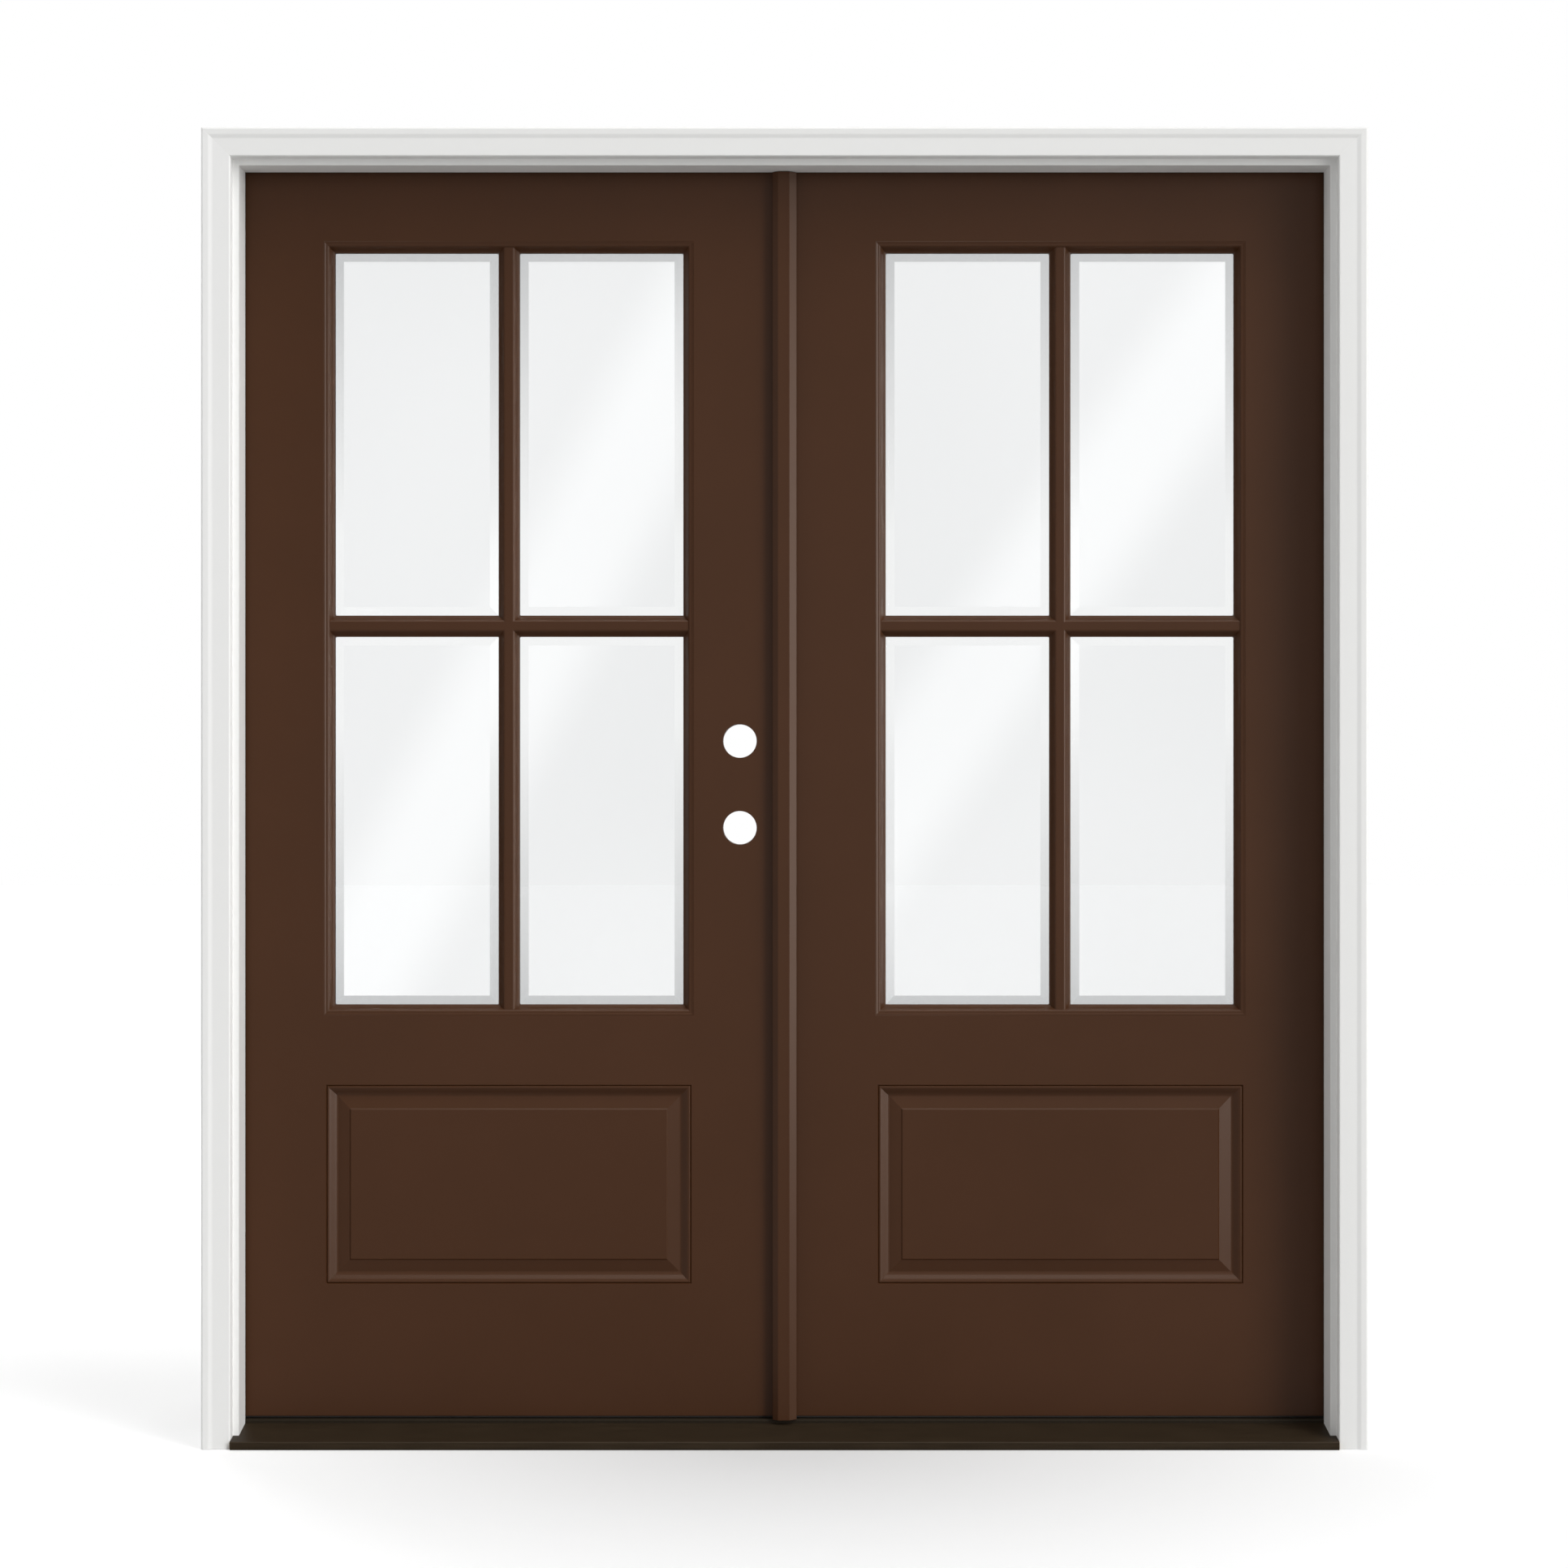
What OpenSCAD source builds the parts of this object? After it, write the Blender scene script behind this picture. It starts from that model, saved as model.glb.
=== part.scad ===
// Fibreglass double entry door, inward opening, prehung in its frame.
// X runs along the wall, Y from outside to inside, Z up.
// The origin is on the floor, in the middle, in the plane of the jambs' outdoor edge.

/* [Leaves] */
// Width of each leaf
leaf_w = 863.6; // [800:0.1:920]
// Height of each leaf
leaf_h = 2006.6; // [1950:0.1:2120]
// Thickness of each leaf
leaf_t = 44.5; // [42:0.1:50]
// Thickness of the moulded skins
skin_t = 2.5; // [1.8:0.1:3]
// Height of the leaves' lower edge above the floor
leaf_lift = 35; // [34.6:0.1:40]
// Gap between a leaf and the jambs
hinge_gap = 3; // [2.4:0.1:4]
// Gap between the active leaf and the astragal
meeting_gap = 3; // [2.6:0.1:4]
// Width of the stile along the hinges
hinge_stile_w = 60; // [40:1:90]
// Width of the stile that takes the locks
lock_stile_w = 100; // [92:1:125]
// Height of the rail along the top
top_rail_h = 60; // [30:1:100]
// Height of the rail along the bottom
bottom_rail_h = 80; // [30:1:150]

/* [Glazed lite] */
// From the leaf's upright edges to the lite
lite_margin = 135; // [130:0.5:180]
// From the leaf's top edge to the lite
lite_top = 119.5; // [105:0.5:180]
// Width of the moulding around the glass
moulding_w = 16.5; // [14:0.5:22]
// Depth from the leaf's face down to the glass
moulding_d = 14; // [8:0.5:16]
// Width of the glazing bars
bar_w = 34.5; // [25:0.5:50]
// Flat crown of the glazing bars
bar_crown_w = 12; // [8:0.5:20]
// From the middle of the lite up to the cross bar's middle
bar_rise = 4; // [-20:0.5:20]
// Thickness of the outer glass sheet
outer_glass_t = 5; // [4:0.5:6]
// Thickness of the inner glass sheet
inner_glass_t = 4; // [3:0.5:6]
// Width of the ground bevel around each pane
bevel_w = 14; // [8:0.5:25]
// Height of the ground bevel
bevel_h = 2; // [1:0.1:3]

/* [Raised panel] */
// From the lite down to the panel
panel_gap = 112; // [60:0.5:140]
// Height of the panel over its moulding
panel_h = 320; // [200:0.5:340]
// From the leaf's lower edge up to the panel
panel_lift = 212.1; // [120:0.1:280]
// From the leaf's upright edges to the panel
panel_margin = 138; // [130:0.5:180]
// Width of the moulded bead around the panel
bead_w = 19; // [14:0.5:26]
// Width of the bevel that rises to the panel's field
rise_w = 21; // [12:0.5:30]
// Depth of the valley between the bead and the field
valley_d = 8; // [5:0.5:9.5]
// Depth of the panel's field below the leaf's face
field_d = 2; // [1:0.5:4]

/* [Locks] */
// From the leaf's edge to the middle of the lock bores
backset = 60.3; // [56:0.1:70]
// Height of the lockset bore above the leaf's lower edge
lockset_h = 945; // [850:1:1050]
// From the lockset bore up to the deadbolt bore
deadbolt_rise = 139.7; // [101:0.1:150]
// Radius of the two lock bores
lock_bore_r = 26.99; // [24:0.01:28]
// Radius of the latch bores in the leaf's edge
latch_bore_r = 12.7; // [11:0.1:13.5]

/* [Frame] */
// Depth of the jambs through the wall
jamb_depth = 116; // [110:0.5:165]
// Thickness of the jambs behind the leaves
jamb_t = 19.3; // [16:0.1:25]
// Height of the stop on the jambs
stop_w = 12.7; // [10:0.1:16]
// Room for the weatherstrip between the stop and the leaves
seal_space = 7.9; // [5:0.1:10]
// Width of the brickmould
brickmould_w = 46.5; // [40:0.5:60]
// Thickness of the brickmould
brickmould_t = 27; // [22:0.5:36]
// Strip of the jambs' edge that the brickmould leaves bare
reveal = 9.5; // [4:0.5:12]

/* [Sill] */
// How far the sill stands out in front of the jambs
nose_out = 33; // [32:0.5:60]
// Height of the sill's nose
nose_h = 13; // [9:0.5:16]
// Height of the sloping deck where it meets the cap
deck_h = 25; // [20:0.5:27]
// Height of the cap under the leaves
cap_h = 31; // [29:0.1:33]
// Thickness of the sill's metal cover
cover_t = 1.6; // [1:0.1:2.5]

/* [Astragal] */
// Width of the astragal's stem between the leaves
stem_w = 20.2; // [18:0.1:26]
// Width of the astragal's flange
flange_w = 38; // [34:0.5:48]
// How far the flange stands out from the leaves
flange_out = 22; // [18:0.5:26]
// Gap between the flange and the active leaf's face
flange_gap = 3.5; // [2:0.1:5]
// Radius of the flush bolts
bolt_r = 4.75; // [3.5:0.05:5.5]
// Length of the flush bolts
bolt_l = 180; // [120:1:260]
// Travel of the flush bolts
bolt_travel = 15; // [8:0.5:17]

/* [Hinges] */
// Height of each hinge
hinge_h = 101.6; // [76:0.1:127]
// Thickness of the hinge plates
plate_t = 2.5; // [2:0.1:3.2]
// Depth of the hinge plates in the wood
plate_d = 34; // [28:0.5:38]
// Radius of the hinge barrel
barrel_r = 6.5; // [6:0.1:8]
// Radius of the hinge pin
pin_r = 4; // [3:0.1:4.5]
// From the leaf's top to the upper hinge
hinge_drop = 178; // [120:1:250]
// From the leaf's bottom to the lower hinge
hinge_lift = 279; // [180:1:350]

/* [Hidden] */
$fn = 48;

paint_brown = [0.27, 0.19, 0.145];
frame_white = [0.90, 0.90, 0.89];
bronze = [0.19, 0.16, 0.13];
timber = [0.74, 0.60, 0.42];
foam = [0.91, 0.84, 0.62];
glass_tint = [0.85, 0.92, 0.92, 0.45];
steel = [0.62, 0.60, 0.57];
seal_grey = [0.22, 0.20, 0.19];

// Clearances and the overrun of cuts
overrun = 1;
seat_gap = 0.3;
pin_clear = 0.05;
bolt_clear = 0.4;
screw_clear = 0.1;

// Places across the opening
meeting_half = (stem_w + meeting_gap) / 2;
hinge_edge_x = meeting_half + leaf_w;
rabbet_x = hinge_edge_x + hinge_gap;
stop_x = rabbet_x - stop_w;
jamb_x = rabbet_x + jamb_t;
casing_in_x = stop_x + reveal;
casing_out_x = casing_in_x + brickmould_w;

// Places through the wall
leaf_y = jamb_depth - leaf_t;
stop_back_y = leaf_y - seal_space;

// Places up the opening
leaf_top = leaf_lift + leaf_h;
head_rabbet_z = leaf_top + hinge_gap;
head_stop_z = head_rabbet_z - stop_w;
head_top = head_rabbet_z + jamb_t;
casing_in_z = head_stop_z + reveal;
casing_out_z = casing_in_z + brickmould_w;

// The lite and the panel in the leaf's own plane
field_w = leaf_w - lite_margin * 2;
panel_w = leaf_w - panel_margin * 2;
panel_z = panel_lift;
lite_z = panel_z + panel_h + panel_gap;
lite_h = leaf_h - lite_top - lite_z;
rim_w = 4.4;
rim_d = 1.4;
rim_ledge_w = 0.8;
pocket_gap = 1;
setting_gap = 2.5;
cross_z = lite_z + lite_h / 2 + bar_rise;
bar_top_d = 4;
sheet_inset = setting_gap;
spacer_w = moulding_w - sheet_inset - pocket_gap;
quirk_w = 3;
quirk_d = 2.2;
field_step = 1.8;
panel_ring_w = bead_w + rise_w;
curve_steps = 8;

// Weatherstrip and its slot in the stop
kerf_w = 3;
kerf_d = 8;
kerf_in = 4;
barb_w = 2.6;
bulb_r = 2.5;

// Hinge layout
pin_out = barrel_r + seat_gap;
knuckles = 5;
knuckle_gap = 0.3;
knuckle_h = hinge_h / knuckles;
plate_corner_r = 15.9;
mortise_clear = 0.15;
pin_head_r = 5.6;
pin_head_h = 3;
screw_head_r = 4.3;
screw_head_h = 2.2;
screw_shank_r = 2.2;
jamb_screw_l = 14;
leaf_screw_l = 26;
screw_depth_shares = [0.35, 0.72, 0.72, 0.35];
screw_height_shares = [0.12, 0.33, 0.67, 0.88];
hinge_zs = [
    hinge_lift,
    (hinge_lift + leaf_h - hinge_drop - hinge_h) / 2,
    leaf_h - hinge_drop - hinge_h
];

// Sill and cap layout
cap_front_gap = 0.8;
cap_front_y = stop_back_y - cap_front_gap;
cap_back_in = 4;
cap_round = 2.5;
cap_screw_r = 4;
cap_screw_l = 12;
cap_screw_in = 11;
cap_screw_end = 110;
cap_screw_count = 6;
nose_edge = 1.5;
nose_lip_h = 3;
nose_lip_in = 1.2;

// Sweep under each leaf
sweep_base_t = 1.6;
sweep_in = 9;
sweep_end = 2;
fin_t = 2;
fin_count = 3;

// Astragal layout
flange_edge_t = 12;
flange_left_bevel = 8.4;
flange_right_bevel = 11;
flange_bead = 1.2;
flange_end_gap = 0.8;
flange_foot_gap = 0.6;
stem_x = -meeting_half + meeting_gap;
bolt_x = (stem_x + meeting_half) / 2;
bolt_y = leaf_y + leaf_t / 2;
bolt_tip_in = 2;
thumb_w = 8;
thumb_h = 24;
thumb_share = 0.5;
thumb_sink = 1;
strike_r = 11;
strike_depth = 9;
seal_w = 6;
faceplate_w = 25.4;
faceplate_h = 57.2;
faceplate_t = 3;

// Brickmould profile
casing_nose_r = 4;
casing_band_w = 10;
casing_step_w = 9;
casing_step_d = 1.7;
casing_edge_r = 3;

// A smooth ogee from one point to another
function ogee(x0, d0, x1, d1) = [
    for (k = [0 : curve_steps])
        [x0 + (x1 - x0) * k / curve_steps, d0 + (d1 - d0) * (1 - cos(180 * k / curve_steps)) / 2]
];

// Points of an arc from angle a0 to a1
function arc(cx, cy, r, a0, a1) = [
    for (k = [0 : curve_steps])
        [cx + r * cos(a0 + (a1 - a0) * k / curve_steps), cy + r * sin(a0 + (a1 - a0) * k / curve_steps)]
];

// The same outline pushed deeper, run backwards
function pushed_back(line, d) = [
    for (k = [len(line) - 1 : -1 : 0]) [line[k][0], line[k][1] + d]
];

// Puts a leaf's pieces in the left half of the opening
module in_left_leaf() {
    translate([-hinge_edge_x, leaf_y, leaf_lift]) children();
}

// Turns a piece of the left half into its twin on the right
module on_right() {
    mirror([1, 0, 0]) children();
}

// Turns a piece of the leaf's outdoor side into its twin indoors
module indoors() {
    translate([0, leaf_t, 0]) mirror([0, 1, 0]) children();
}

// Extrudes a profile of inward distance and depth along the bottom of a rectangle
module bottom_run(w) {
    translate([w, 0, 0]) rotate([0, -90, 0]) linear_extrude(w) children();
}

// Mitred corner wedge for an upright side of a rectangle
module upright_wedge(h, reach, d0, d1) {
    translate([0, d1, 0])
        rotate([90, 0, 0])
            linear_extrude(d1 - d0)
                polygon([[0, 0], [reach, reach], [reach, h - reach], [0, h]]);
}

// Mitred corner wedge for the bottom of a rectangle
module level_wedge(w, reach, d0, d1) {
    translate([0, d1, 0])
        rotate([90, 0, 0])
            linear_extrude(d1 - d0)
                polygon([[0, 0], [w, 0], [w - reach, reach], [reach, reach]]);
}

// Half of a mitred frame: its left upright and its bottom
module mitred_half(w, h, reach, d0, d1) {
    intersection() {
        linear_extrude(h) children();
        upright_wedge(h, reach, d0, d1);
    }
    intersection() {
        bottom_run(w) children();
        level_wedge(w, reach, d0, d1);
    }
}

// A profile of inward distance and depth, carried round a rectangle with mitred corners
module mitred_frame(w, h, reach, d0, d1) {
    union() {
        mitred_half(w, h, reach, d0, d1) children();
        translate([w, 0, h]) rotate([0, 180, 0]) mitred_half(w, h, reach, d0, d1) children();
    }
}

// A pad with four bevelled sides, standing out from the depth d
module bevelled_pad(w, h, d, bevel, height) {
    intersection() {
        linear_extrude(h)
            polygon([[0, d], [w, d], [w - bevel, d - height], [bevel, d - height]]);
        bottom_run(w)
            polygon([[0, d], [h, d], [h - bevel, d - height], [bevel, d - height]]);
    }
}

// Extrudes an outline of Y and Z along X
module along_x(length) {
    rotate([90, 0, 90]) linear_extrude(length) children();
}

// Jambs

module jamb_profile() {
    difference() {
        polygon([
            [-jamb_x, 0], [-stop_x, 0], [-stop_x, stop_back_y],
            [-rabbet_x, stop_back_y], [-rabbet_x, jamb_depth], [-jamb_x, jamb_depth]
        ]);
        translate([-stop_x - kerf_in - kerf_w, stop_back_y - kerf_d]) square([kerf_w, kerf_d + overrun]);
    }
}

module side_jamb() {
    difference() {
        linear_extrude(head_top) jamb_profile();
        in_left_leaf() for (z = hinge_zs) at_hinge(z) jamb_side() plate_mortise();
        in_left_leaf() for (z = hinge_zs) at_hinge(z) jamb_side() screw_holes(jamb_screw_l);
    }
}

module left_jamb() {
    color(frame_white) side_jamb();
}

module right_jamb() {
    color(frame_white) on_right() side_jamb();
}

module head_profile() {
    difference() {
        polygon([
            [0, head_stop_z], [stop_back_y, head_stop_z], [stop_back_y, head_rabbet_z],
            [jamb_depth, head_rabbet_z], [jamb_depth, head_top], [0, head_top]
        ]);
        translate([stop_back_y - kerf_d, head_stop_z + kerf_in]) square([kerf_d + overrun, kerf_w]);
    }
}

// Plan of the space between the jambs, with the sill's horns in front
module between_jambs(front_half, height) {
    linear_extrude(height)
        polygon([
            [-front_half, -nose_out], [front_half, -nose_out], [front_half, 0], [stop_x, 0],
            [stop_x, stop_back_y], [rabbet_x, stop_back_y], [rabbet_x, jamb_depth],
            [-rabbet_x, jamb_depth], [-rabbet_x, stop_back_y], [-stop_x, stop_back_y],
            [-stop_x, 0], [-front_half, 0]
        ]);
}

module head_jamb() {
    color(frame_white)
        difference() {
            intersection() {
                translate([-rabbet_x, 0, 0]) along_x(rabbet_x * 2) head_profile();
                between_jambs(stop_x, head_top);
            }
            translate([bolt_x, bolt_y, head_rabbet_z - overrun])
                cylinder(r = bolt_r + bolt_clear, h = jamb_t + overrun * 2);
        }
}

// Brickmould

module casing_profile() {
    flat_y = -brickmould_t + casing_step_d;
    polygon(concat(
        [[0, 0]],
        arc(casing_nose_r, -brickmould_t + casing_nose_r, casing_nose_r, 180, 270),
        ogee(casing_band_w, -brickmould_t, casing_band_w + casing_step_w, flat_y),
        arc(brickmould_w - casing_edge_r, flat_y + casing_edge_r, casing_edge_r, 270, 360),
        [[brickmould_w, 0]]
    ));
}

module casing_mitre(x0, x1, z0, z1) {
    translate([0, overrun, 0])
        rotate([90, 0, 0])
            linear_extrude(brickmould_t + overrun * 2)
                polygon([[x0, z0], [x1, z0], [x1, casing_in_z], [x0, z1]]);
}

module side_casing() {
    intersection() {
        translate([-casing_out_x, 0, 0]) linear_extrude(casing_out_z) casing_profile();
        casing_mitre(-casing_out_x, -casing_in_x, 0, casing_out_z);
    }
}

module left_brickmould() {
    color(frame_white) side_casing();
}

module right_brickmould() {
    color(frame_white) on_right() side_casing();
}

module head_brickmould() {
    color(frame_white)
        intersection() {
            translate([-casing_out_x, 0, casing_out_z])
                rotate([0, 90, 0]) linear_extrude(casing_out_x * 2) casing_profile();
            translate([0, overrun, 0])
                rotate([90, 0, 0])
                    linear_extrude(brickmould_t + overrun * 2)
                        polygon([
                            [-casing_out_x, casing_out_z], [-casing_in_x, casing_in_z],
                            [casing_in_x, casing_in_z], [casing_out_x, casing_out_z]
                        ]);
        }
}

// Sill

module sill_bolt_hole() {
    translate([bolt_x, bolt_y, 0]) cylinder(r = bolt_r + bolt_clear, h = cap_h + overrun);
}

module sill_substrate() {
    color(timber)
        difference() {
            intersection() {
                translate([-rabbet_x, 0, 0])
                    along_x(rabbet_x * 2)
                        polygon([
                            [-nose_out + cover_t, 0], [-nose_out + cover_t, nose_h - cover_t],
                            [cap_front_y, deck_h - cover_t], [jamb_depth, deck_h - cover_t],
                            [jamb_depth, 0]
                        ]);
                between_jambs(casing_in_x, cap_h);
            }
            sill_bolt_hole();
        }
}

module sill_cover() {
    color(bronze)
        intersection() {
            translate([-rabbet_x, 0, 0])
                along_x(rabbet_x * 2)
                    polygon([
                        [-nose_out + nose_lip_in, 0], [-nose_out + nose_lip_in, nose_lip_h],
                        [-nose_out, nose_lip_h], [-nose_out, nose_h - nose_edge],
                        [-nose_out + nose_edge, nose_h],
                        [cap_front_y, deck_h], [cap_front_y, deck_h - cover_t],
                        [-nose_out + cover_t, nose_h - cover_t], [-nose_out + cover_t, 0]
                    ]);
            between_jambs(casing_in_x, cap_h);
        }
}

function cap_screw_x(k) =
    -rabbet_x + cap_screw_end + (rabbet_x - cap_screw_end) * 2 * k / (cap_screw_count - 1);

module cap_screw_places() {
    screw_y = jamb_depth - cap_back_in - cap_screw_in;
    for (k = [0 : cap_screw_count - 1])
        translate([cap_screw_x(k), screw_y, cap_h - cap_screw_l]) children();
}

module threshold_cap() {
    color(bronze)
        difference() {
            intersection() {
                translate([-rabbet_x, 0, 0])
                    along_x(rabbet_x * 2)
                        polygon(concat(
                            [[cap_front_y, deck_h - cover_t]],
                            arc(cap_front_y + cap_round, cap_h - cap_round, cap_round, 180, 90),
                            arc(jamb_depth - cap_back_in - cap_round, cap_h - cap_round, cap_round, 90, 0),
                            [[jamb_depth - cap_back_in, deck_h - cover_t]]
                        ));
                between_jambs(casing_in_x, cap_h);
            }
            sill_bolt_hole();
            cap_screw_places() cylinder(r = cap_screw_r + screw_clear, h = cap_screw_l + overrun);
        }
}

module cap_screws() {
    color(steel)
        cap_screw_places()
            translate([0, 0, cap_screw_l - (cap_h - deck_h + cover_t)])
                cylinder(r = cap_screw_r, h = cap_h - deck_h + cover_t - seat_gap);
}

// Weatherstrips

module strip_profile() {
    bulb_end = seal_space - seat_gap;
    bulb_w = stop_w - seat_gap * 2;
    polygon(concat(
        [[seat_gap, 0]],
        arc(seat_gap + bulb_r, bulb_end - bulb_r, bulb_r, 180, 90),
        arc(seat_gap + bulb_w - bulb_r, bulb_end - bulb_r, bulb_r, 90, 0),
        [
            [seat_gap + bulb_w, 0], [kerf_in + (kerf_w + barb_w) / 2, 0],
            [kerf_in + (kerf_w + barb_w) / 2, -kerf_d + seat_gap],
            [kerf_in + (kerf_w - barb_w) / 2, -kerf_d + seat_gap],
            [kerf_in + (kerf_w - barb_w) / 2, 0]
        ]
    ));
}

module side_strip() {
    translate([-stop_x, stop_back_y, cap_h + seat_gap])
        mirror([1, 0, 0]) linear_extrude(head_stop_z - cap_h - seat_gap) strip_profile();
}

module left_weatherstrip() {
    color(seal_grey) side_strip();
}

module right_weatherstrip() {
    color(seal_grey) on_right() side_strip();
}

module head_weatherstrip() {
    strip_half = stop_x - seat_gap;
    color(seal_grey)
        translate([strip_half, stop_back_y, head_stop_z])
            rotate([0, -90, 0]) linear_extrude(strip_half * 2) strip_profile();
}

// Hinges, in a frame with the pin on the Z axis and the leaf on the +X side

module at_hinge(z) {
    translate([-hinge_gap / 2, leaf_t + pin_out, z]) children();
}

module jamb_side() {
    mirror([1, 0, 0]) children();
}

module plate_outline(spare) {
    reach = pin_out + plate_d + spare;
    low = -spare;
    high = hinge_h + spare;
    r = plate_corner_r;
    translate([-reach + r, low]) square([reach - r, high - low]);
    translate([-reach, low + r]) square([r, high - low - r * 2]);
    translate([-reach + r, low + r]) circle(r);
    translate([-reach + r, high - r]) circle(r);
}

module plate_mortise() {
    translate([hinge_gap / 2 - overrun, 0, 0]) along_x(plate_t + overrun) plate_outline(mortise_clear);
}

module screw_places() {
    for (k = [0 : len(screw_depth_shares) - 1])
        translate([
            hinge_gap / 2, -pin_out - plate_d * screw_depth_shares[k], hinge_h * screw_height_shares[k]
        ])
            rotate([0, 90, 0]) children();
}

module screw_holes(length) {
    screw_places() cylinder(r = screw_shank_r + screw_clear, h = plate_t + length + overrun);
}

module screw_set(length) {
    screw_places()
        union() {
            cylinder(r1 = screw_head_r, r2 = screw_shank_r, h = screw_head_h);
            cylinder(r = screw_shank_r, h = plate_t + length);
        }
}

module countersinks() {
    screw_places()
        cylinder(r1 = screw_head_r + screw_clear, r2 = screw_shank_r + screw_clear, h = screw_head_h);
    screw_places() cylinder(r = screw_shank_r + screw_clear, h = plate_t + overrun);
}

module knuckle_stack(first, spare) {
    for (k = [first : 2 : knuckles - 1])
        translate([0, 0, knuckle_h * k - spare])
            cylinder(r = barrel_r + spare, h = knuckle_h + spare * 2);
}

// One plate with its knuckles, with first = 0 on the jamb and 1 on the leaf
module hinge_plate(first) {
    difference() {
        union() {
            difference() {
                translate([hinge_gap / 2, 0, 0]) along_x(plate_t) plate_outline(0);
                knuckle_stack(1 - first, knuckle_gap);
                countersinks();
            }
            for (k = [first : 2 : knuckles - 1])
                translate([0, 0, knuckle_h * k + knuckle_gap / 2])
                    cylinder(r = barrel_r, h = knuckle_h - knuckle_gap);
        }
        translate([0, 0, -overrun]) cylinder(r = pin_r + pin_clear, h = hinge_h + overrun * 2);
    }
}

module hinge_pin() {
    cylinder(r = pin_r, h = hinge_h);
    translate([0, 0, hinge_h]) cylinder(r = pin_head_r, h = pin_head_h);
    translate([0, 0, -pin_head_h]) cylinder(r = pin_head_r, h = pin_head_h);
}

module jamb_hinge_set() {
    in_left_leaf() for (z = hinge_zs) at_hinge(z) jamb_side() hinge_plate(0);
}

module leaf_hinge_set() {
    in_left_leaf() for (z = hinge_zs) at_hinge(z) hinge_plate(1);
}

module pin_set() {
    in_left_leaf() for (z = hinge_zs) at_hinge(z) hinge_pin();
}

module left_jamb_hinge_plates() {
    color(steel) jamb_hinge_set();
}

module right_jamb_hinge_plates() {
    color(steel) on_right() jamb_hinge_set();
}

module left_hinge_pins() {
    color(steel) pin_set();
}

module right_hinge_pins() {
    color(steel) on_right() pin_set();
}

module jamb_screw_set() {
    in_left_leaf() for (z = hinge_zs) at_hinge(z) jamb_side() screw_set(jamb_screw_l);
}

module leaf_screw_set() {
    in_left_leaf() for (z = hinge_zs) at_hinge(z) screw_set(leaf_screw_l);
}

module left_jamb_screws() {
    color(steel) jamb_screw_set();
}

module right_jamb_screws() {
    color(steel) on_right() jamb_screw_set();
}

// Leaf structure, in the leaf's own frame: hinge edge at X = 0, outdoor face at Y = 0

module lite_cut() {
    translate([lite_margin, -overrun, lite_z])
        cube([field_w, leaf_t + overrun * 2, lite_h]);
}

module lock_bores() {
    for (z = [lockset_h, lockset_h + deadbolt_rise]) {
        translate([leaf_w - backset, -overrun, z])
            rotate([-90, 0, 0]) cylinder(r = lock_bore_r, h = leaf_t + overrun * 2);
        translate([leaf_w - backset, leaf_t / 2, z])
            rotate([0, 90, 0]) cylinder(r = latch_bore_r, h = backset + overrun);
        translate([leaf_w - faceplate_t, (leaf_t - faceplate_w) / 2, z - faceplate_h / 2])
            cube([faceplate_t + overrun, faceplate_w, faceplate_h]);
    }
}

// Section of the raised panel's moulded border, from the face inwards
function panel_line() = concat(
    [[0, 0], [quirk_w / 2, quirk_d]],
    ogee(quirk_w, 0, bead_w, valley_d),
    [[panel_ring_w - field_step, field_d + field_step], [panel_ring_w, field_d]]
);

module panel_border() {
    mitred_frame(panel_w, panel_h, panel_ring_w, -overrun, valley_d + skin_t + overrun)
        polygon(concat(panel_line(), pushed_back(panel_line(), skin_t)));
}

module skin() {
    union() {
        difference() {
            cube([leaf_w, skin_t, leaf_h]);
            lite_cut();
            translate([panel_margin, -overrun, panel_z])
                cube([panel_w, skin_t + overrun * 2, panel_h]);
        }
        translate([panel_margin, 0, panel_z]) panel_border();
        translate([panel_margin + panel_ring_w, field_d, panel_z + panel_ring_w])
            cube([panel_w - panel_ring_w * 2, skin_t, panel_h - panel_ring_w * 2]);
    }
}

module hinge_notches() {
    for (z = hinge_zs) at_hinge(z) plate_mortise();
}

module inner_skin() {
    difference() {
        indoors() skin();
        hinge_notches();
    }
}

module hinge_stile() {
    difference() {
        translate([0, skin_t, 0]) cube([hinge_stile_w, leaf_t - skin_t * 2, leaf_h]);
        hinge_notches();
        for (z = hinge_zs) at_hinge(z) screw_holes(leaf_screw_l);
    }
}

module plain_stile() {
    translate([leaf_w - lock_stile_w, skin_t, 0])
        cube([lock_stile_w, leaf_t - skin_t * 2, leaf_h]);
}

module rail(z, h) {
    translate([hinge_stile_w, skin_t, z])
        cube([leaf_w - hinge_stile_w - lock_stile_w, leaf_t - skin_t * 2, h]);
}

module panel_pocket() {
    translate([panel_margin, -overrun, panel_z])
        cube([panel_w, overrun + valley_d + skin_t, panel_h]);
}

module panel_backing() {
    translate([panel_margin + panel_ring_w, field_d + skin_t, panel_z + panel_ring_w])
        cube([panel_w - panel_ring_w * 2, leaf_t - (field_d + skin_t) * 2, panel_h - panel_ring_w * 2]);
}

module foam_core() {
    union() {
        difference() {
            translate([hinge_stile_w, skin_t, bottom_rail_h])
                cube([
                    leaf_w - hinge_stile_w - lock_stile_w, leaf_t - skin_t * 2,
                    leaf_h - bottom_rail_h - top_rail_h
                ]);
            lite_cut();
            panel_pocket();
            indoors() panel_pocket();
        }
        panel_backing();
    }
}

// Glazing, in the leaf's own frame

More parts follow.
